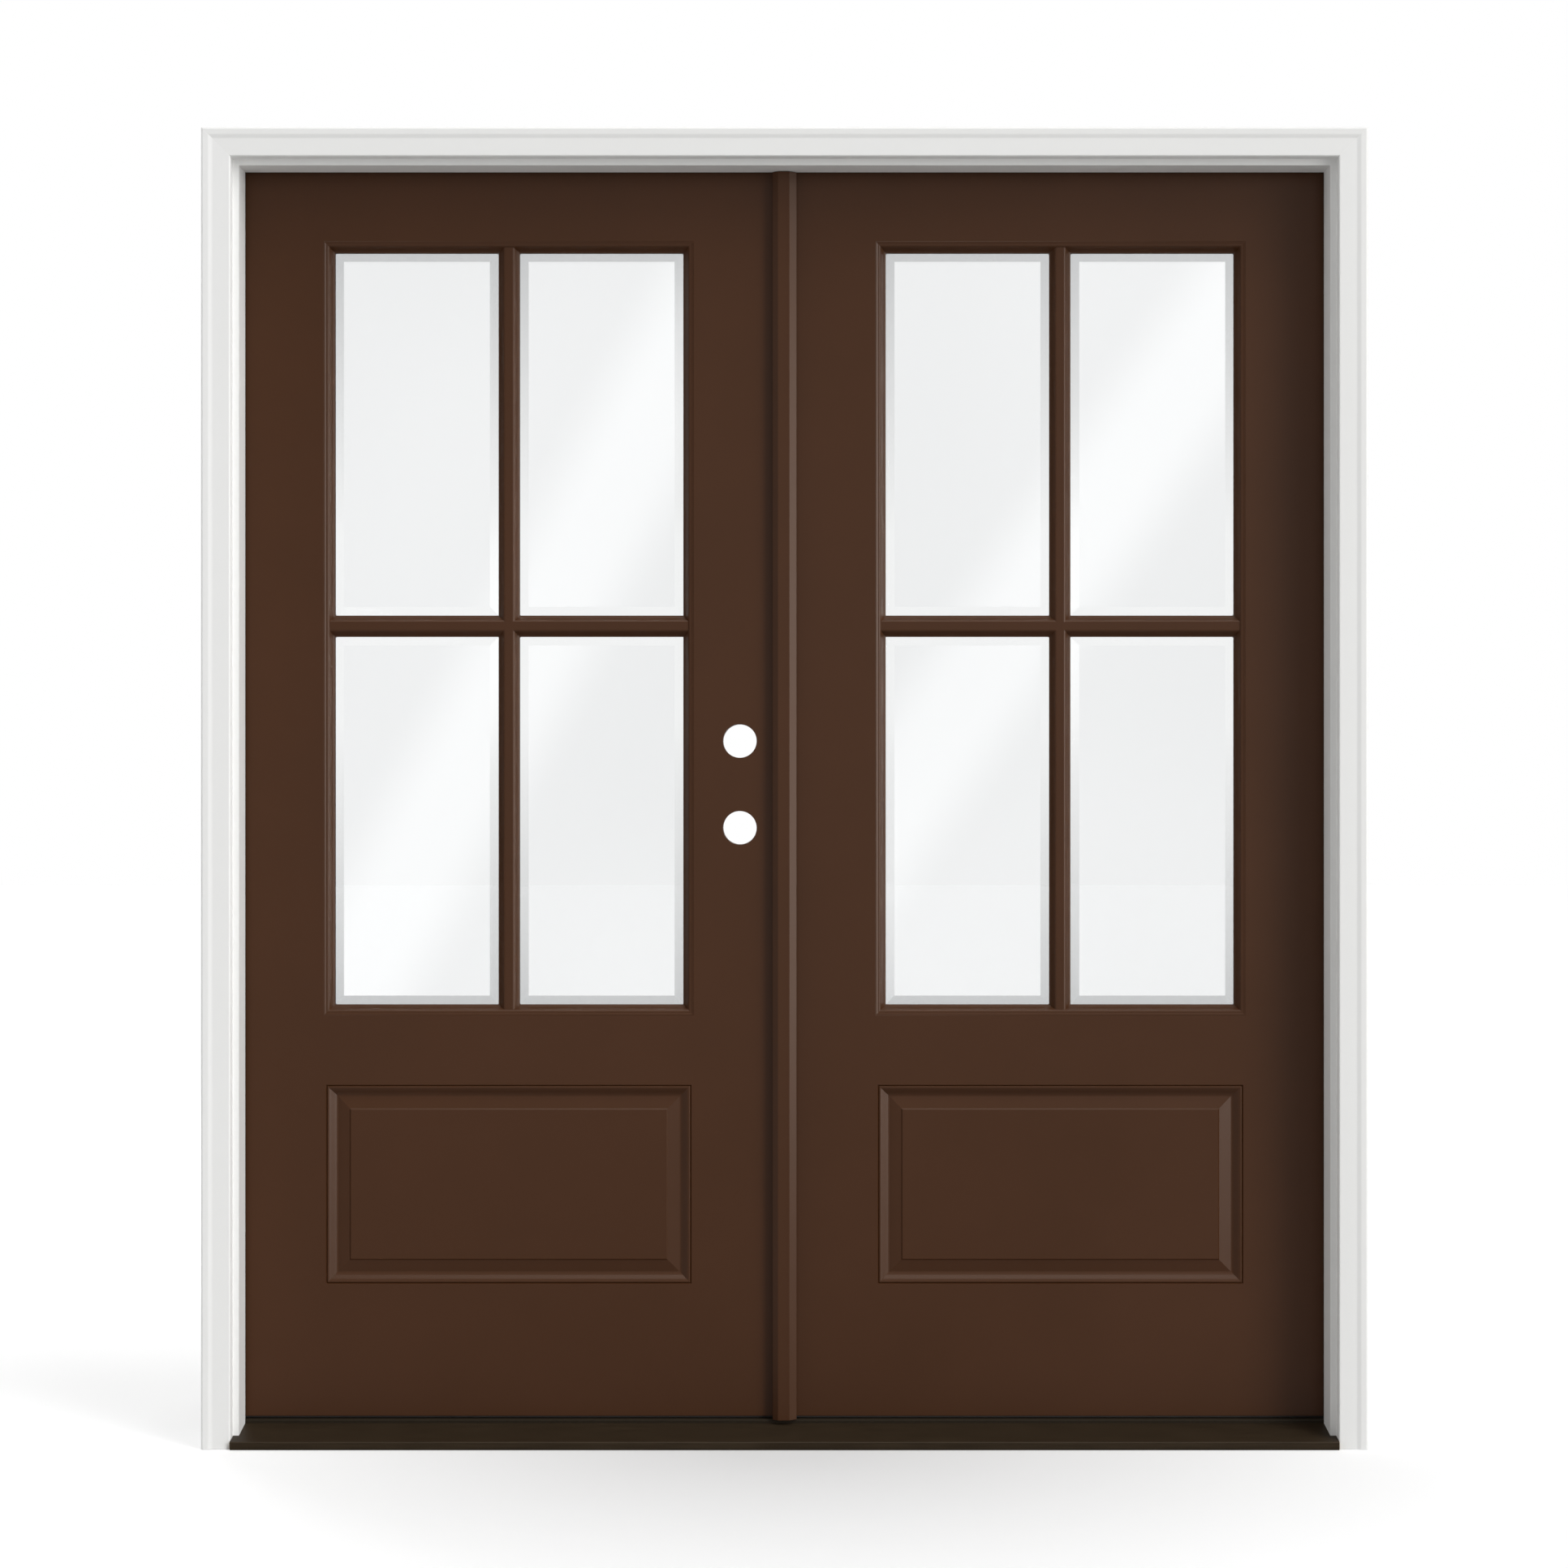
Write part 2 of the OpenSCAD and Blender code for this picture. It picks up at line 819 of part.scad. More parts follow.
module lite_moulding() {
    translate([lite_margin, 0, lite_z])
        mitred_frame(field_w, lite_h, moulding_w, -overrun, moulding_d + overrun)
            polygon(concat(
                ogee(0, 0, rim_w, rim_d),
                ogee(rim_w + rim_ledge_w, rim_d, moulding_w, moulding_d),
                [[0, moulding_d]]
            ));
}

module bar_profile() {
    side = (bar_w - bar_crown_w) / 2;
    polygon(concat(
        ogee(0, moulding_d, side, bar_top_d),
        ogee(bar_w - side, bar_top_d, bar_w, moulding_d)
    ));
}

module glazing_bars() {
    difference() {
        union() {
            translate([leaf_w / 2 - bar_w / 2, 0, lite_z + rim_w])
                linear_extrude(lite_h - rim_w * 2) bar_profile();
            translate([lite_margin + rim_w, 0, cross_z - bar_w / 2])
                bottom_run(field_w - rim_w * 2) bar_profile();
        }
        lite_moulding();
    }
}

module glass_sheet(d, t) {
    translate([lite_margin + sheet_inset, d, lite_z + sheet_inset])
        cube([field_w - sheet_inset * 2, t, lite_h - sheet_inset * 2]);
}

module outer_glass() {
    pane_w = field_w / 2 - moulding_w - bar_w / 2;
    low_h = cross_z - bar_w / 2 - lite_z - moulding_w;
    high_h = lite_h - moulding_w * 2 - bar_w - low_h;
    union() {
        glass_sheet(moulding_d, outer_glass_t);
        for (x = [lite_margin + moulding_w, leaf_w / 2 + bar_w / 2]) {
            translate([x, 0, lite_z + moulding_w])
                bevelled_pad(pane_w, low_h, moulding_d, bevel_w, bevel_h);
            translate([x, 0, cross_z + bar_w / 2])
                bevelled_pad(pane_w, high_h, moulding_d, bevel_w, bevel_h);
        }
    }
}

module inner_glass() {
    glass_sheet(leaf_t - moulding_d - inner_glass_t, inner_glass_t);
}

module glass_spacer() {
    front = moulding_d + outer_glass_t;
    back = leaf_t - moulding_d - inner_glass_t;
    inset = sheet_inset + spacer_w;
    difference() {
        glass_sheet(front, back - front);
        translate([lite_margin + inset, front - overrun, lite_z + inset])
            cube([field_w - inset * 2, back - front + overrun * 2, lite_h - inset * 2]);
    }
}

// Sweep under a leaf: a strip with soft fins

module sweep() {
    drop = leaf_lift - cap_h - seat_gap;
    run = leaf_w - sweep_end * 2;
    span = leaf_t - sweep_in * 2;
    translate([sweep_end, sweep_in, -sweep_base_t]) cube([run, span, sweep_base_t]);
    for (k = [0 : fin_count - 1])
        translate([sweep_end, sweep_in + (span - fin_t) * k / (fin_count - 1), -drop])
            cube([run, fin_t, drop]);
}

// Active leaf, on the left

module active_outer_skin() {
    color(paint_brown)
        in_left_leaf()
            difference() {
                skin();
                lock_bores();
            }
}

module active_inner_skin() {
    color(paint_brown)
        in_left_leaf()
            difference() {
                inner_skin();
                lock_bores();
            }
}

module active_hinge_stile() {
    color(timber) in_left_leaf() hinge_stile();
}

module active_lock_stile() {
    color(timber)
        in_left_leaf()
            difference() {
                plain_stile();
                lock_bores();
            }
}

module active_top_rail() {
    color(timber) in_left_leaf() rail(leaf_h - top_rail_h, top_rail_h);
}

module active_bottom_rail() {
    color(timber) in_left_leaf() rail(0, bottom_rail_h);
}

module active_foam_core() {
    color(foam) in_left_leaf() foam_core();
}

module active_outer_lite_frame() {
    color(paint_brown) in_left_leaf() lite_moulding();
}

module active_inner_lite_frame() {
    color(paint_brown) in_left_leaf() indoors() lite_moulding();
}

module active_outer_glass() {
    color(glass_tint) in_left_leaf() outer_glass();
}

module active_inner_glass() {
    color(glass_tint) in_left_leaf() inner_glass();
}

module active_glass_spacer() {
    color(steel) in_left_leaf() glass_spacer();
}

module active_outer_bars() {
    color(paint_brown) in_left_leaf() glazing_bars();
}

module active_inner_bars() {
    color(paint_brown) in_left_leaf() indoors() glazing_bars();
}

module active_sweep() {
    color(seal_grey) in_left_leaf() sweep();
}

module active_hinge_plates() {
    color(steel) leaf_hinge_set();
}

module active_hinge_screws() {
    color(steel) leaf_screw_set();
}

// Passive leaf, on the right

module passive_outer_skin() {
    color(paint_brown) on_right() in_left_leaf() skin();
}

module passive_inner_skin() {
    color(paint_brown) on_right() in_left_leaf() inner_skin();
}

module passive_hinge_stile() {
    color(timber) on_right() in_left_leaf() hinge_stile();
}

module passive_meeting_stile() {
    color(timber) on_right() in_left_leaf() plain_stile();
}

module passive_top_rail() {
    color(timber) on_right() in_left_leaf() rail(leaf_h - top_rail_h, top_rail_h);
}

module passive_bottom_rail() {
    color(timber) on_right() in_left_leaf() rail(0, bottom_rail_h);
}

module passive_foam_core() {
    color(foam) on_right() in_left_leaf() foam_core();
}

module passive_outer_lite_frame() {
    color(paint_brown) on_right() in_left_leaf() lite_moulding();
}

module passive_inner_lite_frame() {
    color(paint_brown) on_right() in_left_leaf() indoors() lite_moulding();
}

module passive_outer_glass() {
    color(glass_tint) on_right() in_left_leaf() outer_glass();
}

module passive_inner_glass() {
    color(glass_tint) on_right() in_left_leaf() inner_glass();
}

module passive_glass_spacer() {
    color(steel) on_right() in_left_leaf() glass_spacer();
}

module passive_outer_bars() {
    color(paint_brown) on_right() in_left_leaf() glazing_bars();
}

module passive_inner_bars() {
    color(paint_brown) on_right() in_left_leaf() indoors() glazing_bars();
}

module passive_sweep() {
    color(seal_grey) on_right() in_left_leaf() sweep();
}

module passive_hinge_plates() {
    color(steel) on_right() leaf_hinge_set();
}

module passive_hinge_screws() {
    color(steel) on_right() leaf_screw_set();
}

// Astragal with its seal and flush bolts, on the passive leaf's meeting edge

module flange_outline() {
    half = flange_w / 2;
    front = leaf_y - flange_out;
    back = leaf_y - flange_gap;
    polygon([
        [-half, back], [-half, back - flange_edge_t], [-half + flange_left_bevel, front],
        [half - flange_right_bevel, front], [half - flange_right_bevel, front + flange_bead],
        [half, leaf_y - flange_edge_t], [half, leaf_y], [meeting_half, leaf_y],
        [stem_x, leaf_y], [stem_x, back]
    ]);
}

module bolt_bore() {
    cylinder(r = bolt_r + bolt_clear, h = bolt_l + bolt_tip_in + bolt_clear + overrun);
}

// Slot for a bolt's thumb piece, open towards the active leaf
module thumb_slot(room) {
    low = bolt_l * thumb_share - bolt_travel;
    translate([stem_x - bolt_x - overrun, -thumb_w / 2 - room, low])
        cube([bolt_x - stem_x + overrun, thumb_w + room * 2, thumb_h + bolt_travel + room]);
}

module flush_bolt() {
    cylinder(r = bolt_r, h = bolt_l);
    translate([stem_x - bolt_x + thumb_sink, -thumb_w / 2, bolt_l * thumb_share + bolt_clear])
        cube([bolt_x - stem_x - thumb_sink, thumb_w, thumb_h - bolt_clear]);
}

// Places a bolt's parts with the tip outwards, at the top or the bottom of the stem
module at_top_bolt() {
    translate([bolt_x, bolt_y, leaf_top - bolt_tip_in])
        mirror([0, 0, 1]) children();
}

module at_bottom_bolt() {
    translate([bolt_x, bolt_y, leaf_lift + bolt_tip_in]) children();
}

module bolt_room() {
    translate([0, 0, -bolt_tip_in - overrun]) bolt_bore();
    thumb_slot(bolt_clear);
}

module astragal() {
    flange_z = cap_h + flange_foot_gap;
    color(paint_brown)
        difference() {
            union() {
                translate([stem_x, leaf_y, leaf_lift]) cube([stem_w, leaf_t, leaf_h]);
                translate([0, 0, flange_z])
                    linear_extrude(head_stop_z - flange_end_gap - flange_z) flange_outline();
            }
            at_top_bolt() bolt_room();
            at_bottom_bolt() bolt_room();
            for (z = [lockset_h, lockset_h + deadbolt_rise])
                translate([stem_x - overrun, leaf_y + leaf_t / 2, leaf_lift + z])
                    rotate([0, 90, 0]) cylinder(r = strike_r, h = strike_depth + overrun);
        }
}

module astragal_seal() {
    color(seal_grey)
        translate([-flange_w / 2 + seat_gap, leaf_y - flange_gap, cap_h + flange_foot_gap])
            cube([
                seal_w, flange_gap - seat_gap,
                head_stop_z - flange_end_gap - cap_h - flange_foot_gap
            ]);
}

module top_flush_bolt() {
    color(steel) at_top_bolt() flush_bolt();
}

module bottom_flush_bolt() {
    color(steel) at_bottom_bolt() flush_bolt();
}

left_jamb();
right_jamb();
head_jamb();
left_brickmould();
right_brickmould();
head_brickmould();
sill_substrate();
sill_cover();
threshold_cap();
cap_screws();
left_weatherstrip();
right_weatherstrip();
head_weatherstrip();
left_jamb_hinge_plates();
right_jamb_hinge_plates();
left_hinge_pins();
right_hinge_pins();
left_jamb_screws();
right_jamb_screws();
active_outer_skin();
active_inner_skin();
active_hinge_stile();
active_lock_stile();
active_top_rail();
active_bottom_rail();
active_foam_core();
active_outer_lite_frame();
active_inner_lite_frame();
active_outer_glass();
active_inner_glass();
active_glass_spacer();
active_outer_bars();
active_inner_bars();
active_sweep();
active_hinge_plates();
active_hinge_screws();
passive_outer_skin();
passive_inner_skin();
passive_hinge_stile();
passive_meeting_stile();
passive_top_rail();
passive_bottom_rail();
passive_foam_core();
passive_outer_lite_frame();
passive_inner_lite_frame();
passive_outer_glass();
passive_inner_glass();
passive_glass_spacer();
passive_outer_bars();
passive_inner_bars();
passive_sweep();
passive_hinge_plates();
passive_hinge_screws();
astragal();
astragal_seal();
top_flush_bolt();
bottom_flush_bolt();
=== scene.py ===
import math

import bmesh
import bpy
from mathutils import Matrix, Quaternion, Vector


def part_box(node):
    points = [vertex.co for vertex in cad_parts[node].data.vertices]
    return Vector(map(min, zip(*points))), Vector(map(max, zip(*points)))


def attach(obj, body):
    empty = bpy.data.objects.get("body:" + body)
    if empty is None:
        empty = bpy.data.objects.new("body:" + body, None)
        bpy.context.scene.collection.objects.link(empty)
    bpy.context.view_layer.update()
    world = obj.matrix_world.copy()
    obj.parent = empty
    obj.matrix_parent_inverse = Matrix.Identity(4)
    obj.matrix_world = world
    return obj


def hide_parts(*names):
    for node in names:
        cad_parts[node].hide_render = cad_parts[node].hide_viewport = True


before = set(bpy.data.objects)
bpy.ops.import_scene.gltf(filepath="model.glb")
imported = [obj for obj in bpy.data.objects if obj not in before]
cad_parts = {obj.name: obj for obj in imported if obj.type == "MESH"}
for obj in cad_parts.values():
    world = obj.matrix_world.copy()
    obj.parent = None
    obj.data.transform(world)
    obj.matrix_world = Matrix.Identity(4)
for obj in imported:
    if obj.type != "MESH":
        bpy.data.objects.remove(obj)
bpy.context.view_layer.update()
scene = bpy.context.scene
scene.view_settings.view_transform = "Standard"

# The studio: the door stands on a pale floor before a white background. The floor's glow is dimmer
# near the door: painted shade round its foot. Three soft suns from the upper right cast the shadows
# in the reveal, a fourth lights it from the left, and a soft box stands behind. Cards and strips
# that only gloss and glass show draw the edges and the panes.
camera = bpy.data.objects.new("camera", bpy.data.cameras.new("camera"))
camera.location = (-0.0009, -5.4176, 1.0505)
camera.rotation_euler = (math.radians(90), 0, 0)
camera.data.sensor_width = 36
camera.data.lens = 78.42
scene.collection.objects.link(camera)
scene.camera = camera


def soft_box(name, place, aim, width, height, watts):
    """A rectangular lamp on a stand, turned to face the point that it aims at."""
    lamp = bpy.data.lights.new(name, "AREA")
    lamp.shape = "RECTANGLE"
    lamp.size = width
    lamp.size_y = height
    lamp.energy = watts
    stand = bpy.data.objects.new(name, lamp)
    stand.location = place
    stand.rotation_euler = (Vector(aim) - Vector(place)).to_track_quat("-Z", "Y").to_euler()
    scene.collection.objects.link(stand)
    return stand


soft_box("back_box", place=(-2.5, 4.5, 4.0), aim=(0, 0, 1.0), width=2.5, height=2.5, watts=145)
door_middle = (0, 0, 1.1)
card_side = 3.0
card_tint = (1.0, 0.95, 0.88)
for name, place, watts in (
    ("side_card", (5.0, -0.5, 1.2), 270),
    ("top_card", (0, -1.0, 5.5), 165),
    ("front_card", (4.3, -3.9, 1.2), 300),
):
    card = soft_box(name, place, door_middle, card_side, card_side, watts)
    card.data.color = card_tint
    card.visible_diffuse = False


def sheen_strip(name, place, lean):
    """A leaning strip of light behind the camera, soft along its sides, that only reflections show."""
    strip = soft_box(name, place, aim=(place[0], 0, place[2]), width=0.6, height=3.6, watts=17)
    upright = strip.rotation_euler.to_quaternion()
    strip.rotation_euler = (Quaternion((0, 1, 0), math.radians(lean)) @ upright).to_euler()
    for ray in ("visible_camera", "visible_diffuse", "visible_transmission"):
        setattr(strip, ray, False)
    strip.data.use_nodes = True
    tree = strip.data.node_tree
    middle, even_to, dark_from = 0.5, 0.1, 0.5
    spot = tree.nodes.new("ShaderNodeNewGeometry")
    across = tree.nodes.new("ShaderNodeSeparateXYZ")
    tree.links.new(spot.outputs["Parametric"], across.inputs[0])
    centred = tree.nodes.new("ShaderNodeMath")
    centred.operation = "SUBTRACT"
    centred.inputs[1].default_value = middle
    tree.links.new(across.outputs["X"], centred.inputs[0])
    off_middle = tree.nodes.new("ShaderNodeMath")
    off_middle.operation = "ABSOLUTE"
    tree.links.new(centred.outputs[0], off_middle.inputs[0])
    soften = tree.nodes.new("ShaderNodeMapRange")
    soften.interpolation_type = "SMOOTHSTEP"
    soften.inputs["From Min"].default_value = even_to
    soften.inputs["From Max"].default_value = dark_from
    soften.inputs["To Min"].default_value = 1.0
    soften.inputs["To Max"].default_value = 0.0
    tree.links.new(off_middle.outputs[0], soften.inputs["Value"])
    tree.links.new(soften.outputs[0], tree.nodes["Emission"].inputs["Strength"])


sheen_strip("left_sheen", place=(-0.933, -6.0, 1.369), lean=28)
sheen_strip("right_sheen", place=(0.934, -6.0, 1.797), lean=35)
for name, way, strength, spread in (
    ("low_key", (-1.04, 1.0, -0.2), 0.84, 24),
    ("middle_key", (-1.04, 1.0, -0.95), 0.84, 24),
    ("high_key", (-1.04, 1.0, -2.2), 1.13, 24),
    ("fill", (1.0, 0.12, -0.06), 1.1, 60),
):
    lamp = bpy.data.lights.new(name, "SUN")
    lamp.energy = strength
    lamp.angle = math.radians(spread)
    stand = bpy.data.objects.new(name, lamp)
    stand.rotation_euler = Vector(way).to_track_quat("-Z", "Y").to_euler()
    stand.visible_glossy = name != "fill"
    scene.collection.objects.link(stand)

surroundings = bpy.data.worlds.new("white_studio")
surroundings.use_nodes = True
scene.world = surroundings
sky = surroundings.node_tree


def seen_directly(tree):
    """1 on rays from the camera, through glass or off a gloss, and 0 on rays of diffuse light."""
    path = tree.nodes.new("ShaderNodeLightPath")
    seen = path.outputs["Is Camera Ray"]
    for kind in ("Is Transmission Ray", "Is Glossy Ray"):
        either = tree.nodes.new("ShaderNodeMath")
        either.operation = "MAXIMUM"
        tree.links.new(seen, either.inputs[0])
        tree.links.new(path.outputs[kind], either.inputs[1])
        seen = either.outputs[0]
    return seen


dome = sky.nodes["Background"]
dome.inputs["Color"].default_value = (1, 1, 1, 1)
dome.inputs["Strength"].default_value = 0.30
white = sky.nodes.new("ShaderNodeBackground")
white.inputs["Color"].default_value = (1, 1, 1, 1)
white.inputs["Strength"].default_value = 1.0
choose = sky.nodes.new("ShaderNodeMixShader")
sky.links.new(seen_directly(sky), choose.inputs[0])
sky.links.new(dome.outputs[0], choose.inputs[1])
sky.links.new(white.outputs[0], choose.inputs[2])
sky.links.new(choose.outputs[0], sky.nodes["World Output"].inputs[0])


def new_mesh_object(name, shape):
    """An object in the scene with the bmesh as its mesh."""
    mesh = bpy.data.meshes.new(name)
    shape.to_mesh(mesh)
    shape.free()
    piece = bpy.data.objects.new(name, mesh)
    scene.collection.objects.link(piece)
    return piece


floor_half = 30.0
floor_drop = 0.0006
shape = bmesh.new()
corners = [(-1, -1), (1, -1), (1, 1), (-1, 1)]
shape.faces.new([shape.verts.new((x * floor_half, y * floor_half, -floor_drop)) for x, y in corners])
floor = new_mesh_object("floor", shape)
floor_paint = bpy.data.materials.new("pale_floor")
floor_paint.use_nodes = True
tree = floor_paint.node_tree
tree.nodes["Principled BSDF"].inputs["Base Color"].default_value = (0.50, 0.50, 0.50, 1)
tree.nodes["Principled BSDF"].inputs["Roughness"].default_value = 0.9
tree.nodes["Principled BSDF"].inputs["Specular IOR Level"].default_value = 0.0
place = tree.nodes.new("ShaderNodeTexCoord")
away = tree.nodes.new("ShaderNodeVectorMath")
away.operation = "LENGTH"
tree.links.new(place.outputs["Object"], away.inputs[0])
# painted shade: the floor's glow is weakest close to the door and grows with distance from it
painted_floor_shade = tree.nodes.new("ShaderNodeMapRange")
painted_floor_shade.inputs["From Min"].default_value = 0.1
painted_floor_shade.inputs["From Max"].default_value = 1.1
painted_floor_shade.inputs["To Min"].default_value = 0.31
painted_floor_shade.inputs["To Max"].default_value = 0.61
tree.links.new(away.outputs["Value"], painted_floor_shade.inputs["Value"])
glow = tree.nodes.new("ShaderNodeEmission")
tree.links.new(painted_floor_shade.outputs[0], glow.inputs["Strength"])
both = tree.nodes.new("ShaderNodeAddShader")
tree.links.new(tree.nodes["Principled BSDF"].outputs[0], both.inputs[0])
tree.links.new(glow.outputs[0], both.inputs[1])
lift = tree.nodes.new("ShaderNodeMixShader")
tree.links.new(seen_directly(tree), lift.inputs[0])
tree.links.new(tree.nodes["Principled BSDF"].outputs[0], lift.inputs[1])
tree.links.new(both.outputs[0], lift.inputs[2])
tree.links.new(lift.outputs[0], tree.nodes["Material Output"].inputs[0])
floor.data.materials.append(floor_paint)

# The frame: two side jambs and a head jamb of milled timber, rabbeted for the leaves, with
# brickmould mitred round their outdoor edge. All of it is painted white in the works,
# and the tools leave every arris slightly rounded.


def paint(name, dark, light, rough, shine, stretch=(1, 1, 1)):
    """A sprayed paint film: faint cloudiness in its colour, uneven gloss and a fine orange peel."""
    film = bpy.data.materials.new(name)
    film.use_nodes = True
    tree = film.node_tree
    shader = tree.nodes["Principled BSDF"]
    shader.inputs["Specular IOR Level"].default_value = shine
    place = tree.nodes.new("ShaderNodeTexCoord")
    turn = tree.nodes.new("ShaderNodeMapping")
    turn.inputs["Scale"].default_value = stretch
    tree.links.new(place.outputs["Object"], turn.inputs["Vector"])
    cloud = tree.nodes.new("ShaderNodeTexNoise")
    cloud.inputs["Scale"].default_value = 3.0
    cloud.inputs["Detail"].default_value = 5
    cloud.inputs["Roughness"].default_value = 0.6
    tree.links.new(turn.outputs[0], cloud.inputs["Vector"])
    tint = tree.nodes.new("ShaderNodeValToRGB")
    tint.color_ramp.elements[0].position = 0.3
    tint.color_ramp.elements[0].color = (*dark, 1)
    tint.color_ramp.elements[1].position = 0.7
    tint.color_ramp.elements[1].color = (*light, 1)
    tree.links.new(cloud.outputs["Fac"], tint.inputs["Fac"])
    tree.links.new(tint.outputs[0], shader.inputs["Base Color"])
    gloss = tree.nodes.new("ShaderNodeMapRange")
    uneven = 0.05
    gloss.inputs["To Min"].default_value = rough - uneven
    gloss.inputs["To Max"].default_value = rough + uneven
    tree.links.new(cloud.outputs["Fac"], gloss.inputs["Value"])
    tree.links.new(gloss.outputs[0], shader.inputs["Roughness"])
    peel = tree.nodes.new("ShaderNodeTexNoise")
    peel.inputs["Scale"].default_value = 700
    peel.inputs["Detail"].default_value = 2
    tree.links.new(place.outputs["Object"], peel.inputs["Vector"])
    bump = tree.nodes.new("ShaderNodeBump")
    bump.inputs["Strength"].default_value = 0.25
    bump.inputs["Distance"].default_value = 0.00004
    tree.links.new(peel.outputs["Fac"], bump.inputs["Height"])
    tree.links.new(bump.outputs[0], shader.inputs["Normal"])
    return film


def finished(node, body, finish, arris, crease=11):
    """The CAD piece with its outer arrises rounded, its curves smooth and its folds past crease kept sharp.

    Rounded faces carry material 1 until the sharp edges are marked. Where a fold runs into them,
    their cross edges are sharp as well, so that the fold shades crisply to its end.
    """
    least_turn, most_turn = 62, 118
    shape = bmesh.new()
    shape.from_mesh(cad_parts[node].data)
    bmesh.ops.remove_doubles(shape, verts=shape.verts, dist=1e-6)
    bmesh.ops.dissolve_limit(shape, angle_limit=math.radians(0.3), verts=shape.verts, edges=shape.edges)
    for face in shape.faces:
        face.material_index = 0
    if arris:
        corners = [
            edge for edge in shape.edges
            if edge.is_manifold and edge.is_convex
            and least_turn < math.degrees(edge.calc_face_angle()) < most_turn
        ]
        bmesh.ops.bevel(
            shape, geom=corners, offset=arris, offset_type="OFFSET", segments=2, profile=0.5,
            affect="EDGES", clamp_overlap=True, material=1,
        )
    rounded = {face for face in shape.faces if face.material_index == 1}
    for edge in shape.edges:
        fold = math.degrees(edge.calc_face_angle(math.pi))
        edge.smooth = fold < crease or not rounded.isdisjoint(edge.link_faces)
    fold_ends = {vert for edge in shape.edges if not edge.smooth for vert in edge.verts}
    for edge in shape.edges:
        if rounded.issuperset(edge.link_faces) and not fold_ends.isdisjoint(edge.verts):
            edge.smooth = False
    for face in shape.faces:
        face.smooth = True
        face.material_index = 0
    rough = new_mesh_object(node + "_rough", shape)
    shading = rough.modifiers.new("even_shading", "WEIGHTED_NORMAL")
    shading.keep_sharp = True
    mesh = bpy.data.meshes.new_from_object(rough.evaluated_get(bpy.context.evaluated_depsgraph_get()))
    bpy.data.objects.remove(rough)
    mesh.name = node + "_finished"
    mesh.materials.clear()
    mesh.materials.append(finish)
    piece = bpy.data.objects.new(node + "_finished", mesh)
    scene.collection.objects.link(piece)
    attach(piece, body)
    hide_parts(node)
    return piece


white_low, white_high = (0.845, 0.845, 0.83), (0.875, 0.875, 0.865)
upright_paint = paint("white_paint_upright", white_low, white_high, rough=0.46, shine=0.25, stretch=(1, 1, 0.12))
level_paint = paint("white_paint_level", white_low, white_high, rough=0.46, shine=0.25, stretch=(0.12, 1, 1))
for node in ("left_jamb", "right_jamb", "left_brickmould", "right_brickmould"):
    finished(node, "frame", upright_paint, arris=0.0009)
for node in ("head_jamb", "head_brickmould"):
    finished(node, "frame", level_paint, arris=0.0009)

# The sill: a composite board under a folded aluminium cover, anodised dark bronze, that slopes
# down to its nose. A bronze plastic cap under the leaves sits on adjusting screws.


def speckled(name, low, high, rough, scale, depth, stretch=(1, 1, 1), metallic=0.0, shine=0.5):
    """A solid stuff with a visible grain of two tones, which also varies its gloss and its height."""
    stuff = bpy.data.materials.new(name)
    stuff.use_nodes = True
    tree = stuff.node_tree
    shader = tree.nodes["Principled BSDF"]
    shader.inputs["Metallic"].default_value = metallic
    shader.inputs["Specular IOR Level"].default_value = shine
    place = tree.nodes.new("ShaderNodeTexCoord")
    turn = tree.nodes.new("ShaderNodeMapping")
    turn.inputs["Scale"].default_value = stretch
    tree.links.new(place.outputs["Object"], turn.inputs["Vector"])
    grain = tree.nodes.new("ShaderNodeTexNoise")
    grain.inputs["Scale"].default_value = scale
    grain.inputs["Detail"].default_value = 6
    tree.links.new(turn.outputs[0], grain.inputs["Vector"])
    tint = tree.nodes.new("ShaderNodeValToRGB")
    tint.color_ramp.elements[0].position = 0.35
    tint.color_ramp.elements[0].color = (*low, 1)
    tint.color_ramp.elements[1].position = 0.65
    tint.color_ramp.elements[1].color = (*high, 1)
    tree.links.new(grain.outputs["Fac"], tint.inputs["Fac"])
    tree.links.new(tint.outputs[0], shader.inputs["Base Color"])
    gloss = tree.nodes.new("ShaderNodeMapRange")
    uneven = 0.08
    gloss.inputs["To Min"].default_value = rough - uneven
    gloss.inputs["To Max"].default_value = rough + uneven
    tree.links.new(grain.outputs["Fac"], gloss.inputs["Value"])
    tree.links.new(gloss.outputs[0], shader.inputs["Roughness"])
    bump = tree.nodes.new("ShaderNodeBump")
    bump.inputs["Strength"].default_value = 0.3
    bump.inputs["Distance"].default_value = depth
    tree.links.new(grain.outputs["Fac"], bump.inputs["Height"])
    tree.links.new(bump.outputs[0], shader.inputs["Normal"])
    return stuff


def coat_node(node, finish):
    """Gives a CAD node that keeps its own shape its finish."""
    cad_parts[node].data.materials.clear()
    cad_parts[node].data.materials.append(finish)


bronze = speckled(
    "dark_bronze", (0.024, 0.0160, 0.0090), (0.033, 0.0225, 0.0130),
    rough=0.45, scale=260, depth=0.00003, stretch=(0.05, 1, 1), metallic=0.05, shine=0.05,
)
cap_bronze = speckled(
    "cap_bronze", (0.016, 0.0115, 0.0070), (0.022, 0.0160, 0.0100),
    rough=0.5, scale=500, depth=0.00004, shine=0.05,
)
board = speckled("sill_board", (0.30, 0.22, 0.13), (0.46, 0.36, 0.24), rough=0.8, scale=180, depth=0.0002)
finished("sill_cover", "frame", bronze, arris=0.0005)
finished("threshold_cap", "frame", cap_bronze, arris=0.0006)
coat_node("sill_substrate", board)

